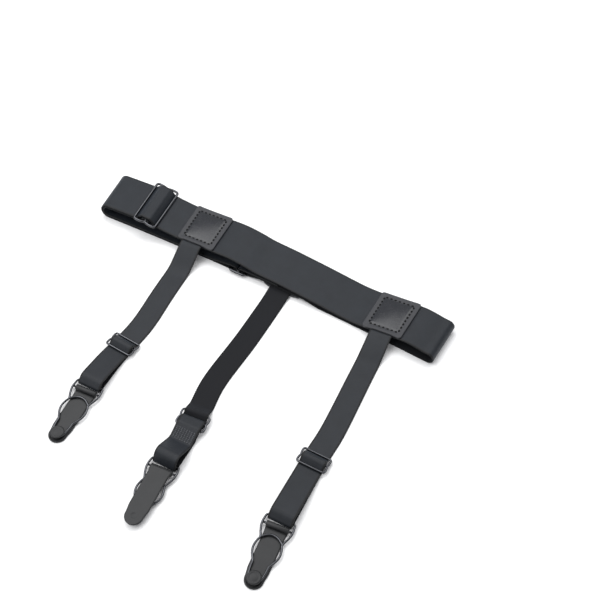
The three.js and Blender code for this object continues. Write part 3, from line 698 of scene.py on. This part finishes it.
def piece(name, bm, finish, nodes=()):
    """Turns a mesh made in millimetres into a finished piece that rides with the stay"""
    bmesh.ops.transform(bm, matrix=Matrix.Scale(1 / METRE, 4) @ Matrix.Translation(OFFSET), verts=bm.verts[:])
    bmesh.ops.recalc_face_normals(bm, faces=bm.faces[:])
    for face in bm.faces:
        face.smooth = True
    mesh = bpy.data.meshes.new(name)
    bm.to_mesh(mesh)
    bm.free()
    made = bpy.data.objects.new(name, mesh)
    bpy.context.scene.collection.objects.link(made)
    mesh.materials.append(finish)
    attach(made, "root")
    if nodes:
        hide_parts(*nodes)
    return made


def grid(columns, rows):
    """A flat sheet of cells, with each corner's column and row"""
    bm = bmesh.new()
    bmesh.ops.create_grid(bm, x_segments=columns, y_segments=rows, size=1.0)
    cells = {}
    for vert in bm.verts:
        cells[vert] = (round((vert.co.x + 1) / 2 * columns), round((vert.co.y + 1) / 2 * rows))
    return bm, cells


def tube(stations, section, place, closed=False, cloth=0, into=None):
    """Wraps a sheet of cells into a tube: section gives the points round it, as across and out, and
    place puts a station and such a point in space. Cloth is 1 where its face is on the outer side of
    the section, and -1 where its rubber's side is."""
    bm, cells = grid(len(stations) - (0 if closed else 1), len(section))
    run = [0.0]
    for a, b in zip(stations, stations[1:]):
        run.append(run[-1] + (b[0] - a[0]).length)
    if cloth:
        uv = bm.loops.layers.uv.new("cloth")
        sides = bm.loops.layers.uv.new("face")
        for face in bm.faces:
            for loop in face.loops:
                i, j = cells[loop.vert]
                across, out = section[j % len(section)]
                loop[uv].uv = (run[i], across)
                loop[sides].uv = (1.0 if out * cloth > 0 else 0.0, 0.0)
    for vert, (i, j) in cells.items():
        vert.co = place(stations[i % len(stations)], *section[j % len(section)])
    bmesh.ops.remove_doubles(bm, verts=bm.verts[:], dist=WELD)
    if not closed:
        bmesh.ops.holes_fill(bm, edges=[e for e in bm.edges if e.is_boundary], sides=0)
    if into is None:
        return bm
    spare = bpy.data.meshes.new("spare")
    bm.to_mesh(spare)
    bm.free()
    into.from_mesh(spare)
    bpy.data.meshes.remove(spare)
    return into


def webbing_section(width, thickness, across=22):
    """Outline of webbing cut across: flat faces and rounded selvedges"""
    half, rim = thickness / 2, thickness * SELVEDGE_REACH
    flat = width / 2 - rim
    top = [(flat * (2 * k / across - 1), half) for k in range(across + 1)]
    end = [(flat + rim * math.sin(a), half * math.cos(a)) for a in SELVEDGE_TURNS]
    return top + end + [(-v, -h) for v, h in top] + [(-v, -h) for v, h in end]


def directions(path):
    """Each point of a path in its upright plane, with the normal on its left"""
    out = []
    for i, point in enumerate(path):
        along = (path[min(i + 1, len(path) - 1)] - path[max(i - 1, 0)]).normalized()
        out.append((point, Vector((-along.y, along.x))))
    return out


def webbing(name, path, width, thickness, place, finish, nodes, face=1):
    """A strip of webbing along a path. Face is -1 where its rubber's side is on the left of the path."""

    def spot(station, across, out):
        point, normal = station
        return place(point.x + normal.x * out, across, point.y + normal.y * out)

    bm = tube(directions(path), webbing_section(width, thickness), spot, cloth=face)
    made = piece(name, bm, finish, nodes)
    return made


def circle(count):
    """Points evenly round a circle of radius 1"""
    turns = [2 * math.pi * k / count for k in range(count)]
    return [(math.cos(turn), math.sin(turn)) for turn in turns]


def wire(points, diameter, closed, matrix=None, into=None):
    """Round wire along points in space"""
    count = len(points)
    stations = []
    for i, point in enumerate(points):
        before = points[i - 1] if closed or i else points[0]
        after = points[(i + 1) % count] if closed or i + 1 < count else points[-1]
        along = (after - before).normalized()
        side = along.cross(Vector((0, 0, 1))).normalized()
        stations.append((point, side, side.cross(along)))

    def spot(station, a, b):
        point, side, up = station
        out = point + (side * a + up * b) * (diameter / 2)
        return matrix @ out if matrix else out

    return tube(stations, circle(WIRE_SIDES), spot, closed=closed, into=into)


def rounded(points, passes):
    """Rounds the corners of a closed outline by cutting them again and again"""
    for _ in range(passes):
        cut = []
        for a, b in zip(points, points[1:] + points[:1]):
            cut += [a.lerp(b, 0.25), a.lerp(b, 0.75)]
        points = cut
    return points


def slider_outline(pitch, diameter, pinch, web_width):
    """A slider's outer wire seen from above: two long bars, and ends that are pinched in the middle.
    A quarter of it runs from a long bar round its corner to the pinch, and is mirrored."""
    corner = GAP + diameter / 2 + pinch
    half = web_width / 2 + corner
    quarter = (
        (pitch, half - corner),
        (pitch - corner * 0.1, half - corner * 0.42),
        (pitch - corner * 0.52, half - corner * 0.08),
        (pitch - corner * 1.3, half),
        (pitch * 0.3, half - pinch * 0.2),
        (pitch * 0.12, half - pinch * 0.85),
    )
    points = []
    for sx, sy in ((1, 1), (-1, 1), (-1, -1), (1, -1)):
        turn = quarter if sx * sy > 0 else quarter[::-1]
        points += [Vector((sx * x, sy * y, 0.0)) for x, y in turn]
        if sx * sy > 0:
            points.append(Vector((0.0, sy * (half - pinch), 0.0)))
    return rounded(points, 2)


def three_bar_slider(pitch, diameter, pinch, web_width):
    """A slider's outer wire with a slightly thinner middle bar"""
    bm = wire(slider_outline(pitch, diameter, pinch, web_width), diameter, True)
    reach = web_width / 2 + GAP + diameter / 2
    bar = [Vector((0.0, reach * k / 4, 0.0)) for k in range(-4, 5)]
    return wire(bar, diameter * INNER_BAR_SHARE, False, into=bm)


def seated(bm, move):
    """Moves every corner of a mesh by a function of its place"""
    for vert in bm.verts:
        vert.co = move(vert.co.copy())
    return bm


def band_hardware():
    """The band's slider, tilted on the rising webbing, and its rectangular ring"""
    bm = three_bar_slider(SLIDER_PITCH, BAND_WIRE, SLIDER_PINCH, BAND_WIDTH)
    tilt = Matrix.Rotation(math.asin(SLIDER_FALL / SLIDER_PITCH), 4, "Y")
    bmesh.ops.transform(bm, matrix=tilt, verts=bm.verts[:])
    seated(bm, lambda p: on_band(p.x + SLIDER_PLACE, p.y + BAND_WIDTH / 2, p.z + SLIDER_HEIGHT))
    piece("band_slider_wire", bm, WIRE, ["band_slider"])
    half, pitch = BAND_WIDTH / 2 + GAP + RING_CORNER, RING_PITCH / 2
    outline = []
    for k in range(4):
        x = (pitch - RING_CORNER) * (1 if k in (0, 3) else -1)
        y = (half - RING_CORNER) * (1 if k < 2 else -1)
        for step in range(7):
            angle = (k + step / 6) * math.pi / 2
            spoke = Vector((math.cos(angle), math.sin(angle), 0.0))
            outline.append(Vector((x, y, 0.0)) + spoke * RING_CORNER)
    bm = wire(outline, BAND_WIRE, True)
    seated(bm, lambda p: on_band(p.x + RING_PLACE, p.y + BAND_WIDTH / 2, p.z + RING_HEIGHT))
    piece("band_ring_wire", bm, WIRE, ["band_ring"])


def round_corners(x, y, half_x, half_y, corner):
    """Turns a corner of a square sheet of cells into a quarter of a disc"""
    p = (abs(x) - (half_x - corner)) / corner
    q = (abs(y) - (half_y - corner)) / corner
    if p > 0 and q > 0:
        turned = (p * math.sqrt(1 - q * q / 2), q * math.sqrt(1 - p * p / 2))
        x = math.copysign(half_x - corner + corner * turned[0], x)
        y = math.copysign(half_y - corner + corner * turned[1], y)
    return x, y


def pocket(row, x):
    """How far the leather's lower face is pushed out by the strap under it"""
    edge = STRAP_WIDTH / 2 + POCKET_MARGIN
    return STRAP_STEP * (1 - smooth(abs(x - row["offset"]), edge, edge + POCKET_RUN))


def inside_seam(x, y):
    """How far a place lies inside the seam's rectangle"""
    return min(SEAM_LENGTH / 2 - abs(x), SEAM_WIDTH / 2 - abs(y))


def patch_top(row, side, x, y):
    """Height of a patch's outer face above its flat seat: the thread's groove, the filled middle and
    the rise over the strap that comes out at the front edge"""
    if side < 0:
        return pocket(row, x)
    inside = inside_seam(x, y)
    dome = max(0.0, 1 - (2 * x / SEAM_LENGTH) ** 2) * max(0.0, 1 - (2 * y / SEAM_WIDTH) ** 2)
    fill = FILL_STEP * smooth(inside, 0, FILL_RUN) + DOME_RISE * dome ** DOME_FULLNESS
    front = STRAP_STEP * (1 - smooth(abs(x - row["offset"]), *FRONT_ASIDE)) * smooth(-y, *FRONT_AHEAD)
    groove = GROOVE_DEPTH * math.exp(-((inside / GROOVE_WIDTH) ** 2))
    return LEATHER_SWELL + fill + front - groove


def stitches(name, seams, width, height, finish):
    """Short lengths of thread, each a drawn-out bead between two points"""
    bm = bmesh.new()
    for a, b in seams:
        along = b - a
        side = along.cross(Vector((0, 0, 1))).normalized()
        turn = Matrix((along.normalized(), side, side.cross(along).normalized())).transposed().to_4x4()
        shape = Matrix.Diagonal((along.length / 2, width / 2, height / 2, 1.0))
        spot = Matrix.Translation((a + b) / 2) @ turn @ shape
        bmesh.ops.create_uvsphere(bm, u_segments=8, v_segments=5, radius=1.0, matrix=spot)
    return piece(name, bm, finish)


def leather_patch(name, side, height_at):
    """A patch on the band, on its outer side or below it, and the seam of black thread round its
    middle"""
    row = next(strap for strap in STRAPS if strap["patch"] == name)
    place = PATCH_PLACES[name]
    half_x, half_y = PATCH_LENGTH / 2, PATCH_WIDTH / 2
    seat = BAND_THICK / 2 + GAP

    def spot(x, y, out):
        return on_band(place + x, y + BAND_WIDTH / 2, height_at(place + x) + side * (seat + out))

    columns, rows = PATCH_CELLS
    bm, cells = grid(columns, rows)
    for vert, (i, j) in cells.items():
        x, y = half_x * (2 * i / columns - 1), half_y * (2 * j / rows - 1)
        vert.co = Vector((*round_corners(x, y, half_x, half_y, PATCH_CORNER), 0))
    bmesh.ops.solidify(bm, geom=bm.faces[:], thickness=PATCH_THICK)
    low = min(vert.co.z for vert in bm.verts)
    # The upper face falls off at the rim, the lower one makes room for the strap, and some leather
    # is left between them
    inner = {}
    for vert in bm.verts:
        x, y, upper = vert.co.x, vert.co.y, vert.co.z - low > PATCH_THICK / 2
        edge = min(half_x - abs(x), half_y - abs(y))
        fall = PATCH_RIM * max(0.0, 1 - edge / (2 * PATCH_RIM)) ** 2
        below = min(pocket(row, x), PATCH_THICK * 0.8) + 0.02
        out = PATCH_THICK + patch_top(row, side, x, y) - fall if upper else below
        inner[vert] = inside_seam(x, y)
        vert.co = spot(x, y, max(out, 0.25) if upper else out * 0.9)
    uv = bm.loops.layers.uv.new("seam")
    for face in bm.faces:
        for loop in face.loops:
            loop[uv].uv = (inner[loop.vert], 0.0)
    piece(f"patch_{name}_leather", bm, LEATHER, [f"patch_{name}"])
    seams = []
    proud = STITCH_PROUD if side > 0 else -STITCH_HEIGHT / 2
    for count, ends in (
        (STITCHES_ALONG, ((-1, -1), (1, -1))),
        (STITCHES_ALONG, ((1, 1), (-1, 1))),
        (STITCHES_ACROSS, ((1, -1), (1, 1))),
        (STITCHES_ACROSS, ((-1, 1), (-1, -1))),
    ):
        a, b = (Vector((ex * SEAM_LENGTH / 2, ey * SEAM_WIDTH / 2)) for ex, ey in ends)
        for k in range(count):
            middle = a.lerp(b, (k + 0.5) / count)
            reach = (b - a) / count * STITCH_REACH
            seams.append([
                spot(p.x, p.y, PATCH_THICK + patch_top(row, side, p.x, p.y) + proud)
                for p in (middle - reach, middle + reach)
            ])
    stitches(f"patch_{name}_stitches", seams, STITCH_WIDTH, STITCH_HEIGHT, SEAM_THREAD)


def clip_half(share):
    """Half the wire outline's width, at a share of its length"""
    return CLIP_HALF * table_value([Vector(row) for row in CLIP_OUTLINE], share)


def clip_frame_wire(row, matrix):
    """A clip's bent wire: its keyhole outline, the bar in the tongue's roll and the arc that parts the
    loop from the keyhole"""
    side = spline([Vector((a * CLIP_LENGTH, o * CLIP_HALF)) for a, o in CLIP_OUTLINE], 72)
    outline = [Vector((p.x, p.y, 0.0)) for p in side] + [Vector((CLIP_LENGTH, 0.0, 0.0))]
    outline += [Vector((p.x, -p.y, 0.0)) for p in reversed(side)]
    bm = wire(rounded(outline, 1), CLIP_WIRE, True, matrix)
    reach = clip_half(TONGUE_BAR / CLIP_LENGTH)
    bar = [Vector((TONGUE_BAR, reach * k / 3, 0.0)) for k in range(-3, 4)]
    wire(bar, CLIP_WIRE * INNER_BAR_SHARE, False, matrix, into=bm)
    start, rise, pinch = CLIP_PINCH * CLIP_LENGTH, CLIP_ARC * CLIP_LENGTH, clip_half(CLIP_PINCH)
    bends = ((0.0, -1.0), (0.75, -0.5), (1.0, 0.0), (0.75, 0.5), (0.0, 1.0))
    arc = spline([Vector((start - rise * back, pinch * aside, 0.0)) for back, aside in bends], 28)
    wire(arc, CLIP_WIRE * INNER_BAR_SHARE, False, matrix, into=bm)
    piece(f"clip_{row['name']}_wire", bm, WIRE, [f"clip_frame_{row['name']}"])


def tongue_half(x):
    """Half the tongue's width where it is x along the clip"""
    tip = TONGUE_LENGTH - TONGUE_TIP
    if x > tip:
        return math.sqrt(max(0.0, TONGUE_TIP ** 2 - (x - tip) ** 2))
    half = TONGUE_TOP + (TONGUE_MIDDLE - TONGUE_TOP) * smooth(x, TONGUE_BAR, TONGUE_BAR + TONGUE_TAPER)
    return half + (TONGUE_TIP - half) * smooth(x, tip - TONGUE_TIP_RUN, tip)


def lathe(bm, profile, x):
    """Spins a profile of radii and heights round the upright axis at x"""
    corners = [bm.verts.new((x + radius, 0.0, z)) for radius, z in profile]
    edges = [bm.edges.new(pair) for pair in zip(corners, corners[1:])]
    bmesh.ops.spin(
        bm, geom=corners + edges, cent=(x, 0, 0), axis=(0, 0, 1), angle=2 * math.pi, steps=LATHE_STEPS,
        use_merge=True,
    )
    # The small rings round the axis are closed to a point
    poles = [v for v in bm.verts if abs(v.co.y) < 0.1 and abs(v.co.x - x) < 0.05]
    bmesh.ops.remove_doubles(bm, verts=poles, dist=0.1)


def tongue_plate(top, button):
    """The flat part of a tongue, with soft edges, a low lip near its tip and a dimple below"""
    columns, rows = TONGUE_CELLS
    bm, cells = grid(columns, rows)
    # Cells crowd toward the sides and the tip, where the rubber turns
    reach = math.pi / 2 * 0.94
    for vert, (i, j) in cells.items():
        share = i / columns
        x = TONGUE_BAR + (TONGUE_LENGTH - TONGUE_BAR) * (1 - (1 - share) ** 1.5)
        across = math.sin((2 * j / rows - 1) * reach) / math.sin(reach)
        vert.co = Vector((x, tongue_half(x) * across, 0.0))
    bmesh.ops.remove_doubles(bm, verts=bm.verts[:], dist=5 * WELD)
    bmesh.ops.solidify(bm, geom=bm.faces[:], thickness=TONGUE_THICK)
    low = min(vert.co.z for vert in bm.verts)
    for vert in bm.verts:
        x, y, z = vert.co
        upper = z - low > TONGUE_THICK / 2
        edge = max(0.0, tongue_half(x) - abs(y))
        fall = TONGUE_EDGE_FALL * max(0.0, 1 - edge / TONGUE_EDGE_RUN) ** 2
        ridge = smooth(edge, 0.3, 0.9) * (1 - smooth(edge, 1.3, 1.9))
        lip = TONGUE_LIP * ridge * smooth(x, *TONGUE_LIP_PLACE)
        dimple = DIMPLE_DEPTH * (1 - smooth(math.hypot(x - button, y), *DIMPLE_RIM))
        vert.co.z = top + lip - fall if upper else top - TONGUE_THICK + fall + dimple
    return bm


def clip_tongue_rubber(row, matrix):
    """A clip's tongue with its button, which stands through the wire's keyhole, and the roll of rubber
    round its bar"""
    cap = CLIP_WIRE / 2 + GAP
    top = -cap
    button = TONGUE_LENGTH - TONGUE_TIP
    bm = tongue_plate(top, button)
    # The button's stem, its rounded rim and the shallow ring pressed in its face
    r, t = BUTTON_RADIUS, BUTTON_THICK
    profile = [
        (0.02, top - BUTTON_ROOT), (BUTTON_STEM, top - BUTTON_ROOT), (BUTTON_STEM, cap),
        (r - 0.3, cap), (r, cap + 0.2), (r, cap + t * 0.5), (r - 0.35, cap + t * 0.8),
        (r - 1.0, cap + t), (r - 1.5, cap + t), (r - 1.8, cap + t - 0.14),
        (r - 2.3, cap + t - 0.14), (r - 2.7, cap + t - 0.03), (0.02, cap + t + 0.1),
    ]
    lathe(bm, profile, button)
    radius = cap + TONGUE_WALL
    left = [(inset - TONGUE_TOP, scale) for inset, scale in ROLL_ENDS]
    right = [(-y, scale) for y, scale in reversed(left)]
    # Each ring stands a hair outside the one before it, so that an end's face bulges slightly
    stations = [
        (Vector((TONGUE_BAR, y + (k - 3) * 0.01, 0.0)), scale)
        for k, (y, scale) in enumerate(left + [(0.0, 1.0)] + right)
    ]

    def spot(station, a, b):
        point, scale = station
        return point + Vector((a * radius * scale, 0.0, b * radius * scale))

    tube(stations, circle(ROLL_SIDES), spot, into=bm)
    bmesh.ops.transform(bm, matrix=matrix, verts=bm.verts[:])
    piece(f"clip_{row['name']}_rubber", bm, RUBBER, [f"clip_tongue_{row['name']}"])


def bartack(row, plan):
    """Zigzag sewing that holds the flat part of the turned strap's strand, ahead of its slider"""
    start = row["slider"] + STRAP_PITCH + TACK_START
    path = strap_path(row)[::-1]
    back = next(i for i, point in enumerate(path) if point.x > start + TACK_LENGTH)
    height = [point for point in path[:back + 1] if point.x > start - 3]
    face = STRAP_THICK / 2 + 0.1
    seams = []
    for line in range(TACK_ROWS):
        v = STRAP_WIDTH * (line / (TACK_ROWS - 1) - 0.5) * TACK_SPREAD
        for k in range(TACK_STITCHES):
            lean = TACK_LEAN if (k + line) % 2 else -TACK_LEAN
            ends = ((TACK_STEP * (k + 0.1), v - lean), (TACK_STEP * (k + 0.9), v + lean))
            seams.append([plan.at(start + u, w, table_value(height, start + u) + face) for u, w in ends])
    stitches(f"strap_{row['name']}_bartack", seams, TACK_WIDTH, TACK_HEIGHT, TACK_THREAD)


def strap_and_clip(row):
    """A garter strap with its slider and its clip, which lies turned over where the strap does"""
    plan = StrapPlan(row)
    name = row["name"]
    webbing(
        f"strap_{name}_webbing", strap_path(row), STRAP_WIDTH, STRAP_THICK, plan.cloth, STRAP_CLOTH,
        [f"strap_{name}"], 1 if row["face_up"] else -1,
    )
    low = STRAP_THICK / 2 + STRAP_ON_WIRE
    height = low + STRAP_STEP / 2 if row["face_up"] else low + STRAP_STEP
    tilt = -math.atan(STRAP_STEP / 2 / STRAP_PITCH) if row["face_up"] else 0.0
    bm = three_bar_slider(STRAP_PITCH, STRAP_WIRE, STRAP_PINCH, STRAP_WIDTH)
    bmesh.ops.transform(bm, matrix=plan.level(row["slider"], height, tilt), verts=bm.verts[:])
    piece(f"strap_{name}_slider_wire", bm, WIRE, [f"strap_slider_{name}"])
    matrix = plan.level(row["length"], TONGUE_THICK + GAP + CLIP_WIRE / 2, 0.0, row["turn"])
    if not row["face_up"]:
        bartack(row, plan)
        matrix = matrix @ Matrix.Rotation(math.pi, 4, "X")
    clip_frame_wire(row, matrix)
    clip_tongue_rubber(row, matrix)


def set_stage():
    """White floor, a pale room and two softboxes that draw the wires' lines of light"""
    bm = bmesh.new()
    bmesh.ops.create_grid(bm, x_segments=2, y_segments=2, size=FLOOR_HALF)
    mesh = bpy.data.meshes.new("pale_floor")
    bm.to_mesh(mesh)
    bm.free()
    floor = bpy.data.objects.new("pale_floor", mesh)
    bpy.context.scene.collection.objects.link(floor)
    made, tree = material("white_paper")
    shader = add(tree, "ShaderNodeBsdfPrincipled", None, {"Base Color": linear("fdfdfd"), "Roughness": 0.8})
    finish_material(tree, shader)
    mesh.materials.append(made)

    world = bpy.data.worlds.new("soft_studio")
    world.use_nodes = True
    sky = world.node_tree.nodes["Background"]
    sky.inputs["Color"].default_value = linear("fbfcff")
    sky.inputs["Strength"].default_value = SKY_STRENGTH
    bpy.context.scene.world = world
    for name, spot, width, depth, power in SOFTBOXES:
        lamp = bpy.data.lights.new(name, "AREA")
        lamp.shape = "RECTANGLE"
        lamp.size = width
        lamp.size_y = depth
        lamp.energy = power
        holder = bpy.data.objects.new(name, lamp)
        holder.location = spot
        holder.rotation_euler = (-Vector(spot)).to_track_quat("-Z", "Y").to_euler()
        bpy.context.scene.collection.objects.link(holder)


def set_camera():
    """Camera solved from the photograph: the picture's frame is square"""
    forward = CAMERA_AIM.normalized()
    right = forward.cross(Vector((0, 0, 1))).normalized()
    up = right.cross(forward)
    side = right * math.cos(CAMERA_ROLL) + up * math.sin(CAMERA_ROLL)
    over = up * math.cos(CAMERA_ROLL) - right * math.sin(CAMERA_ROLL)
    lens = bpy.data.cameras.new("photo_camera")
    lens.sensor_fit = "HORIZONTAL"
    lens.sensor_width = CAMERA_FILM
    lens.lens = CAMERA_LENS
    lens.clip_start = 0.01
    holder = bpy.data.objects.new("photo_camera", lens)
    place = (CAMERA_PLACE + OFFSET) / METRE
    holder.matrix_world = Matrix.Translation(place) @ Matrix((side, over, -forward)).transposed().to_4x4()
    bpy.context.scene.collection.objects.link(holder)
    bpy.context.scene.camera = holder


set_camera()
set_stage()
webbing(
    "thigh_band_webbing", band_path(), BAND_WIDTH, BAND_THICK,
    lambda x, across, z: on_band(x, across + BAND_WIDTH / 2, z), BAND_CLOTH, ["thigh_band"],
)
band_hardware()
leather_patch("a", -1, lambda x: LIFTED)
leather_patch("b", 1, upper_height)
leather_patch("c", 1, upper_height)
for strap in STRAPS:
    strap_and_clip(strap)
bpy.context.scene.view_settings.view_transform = "Standard"
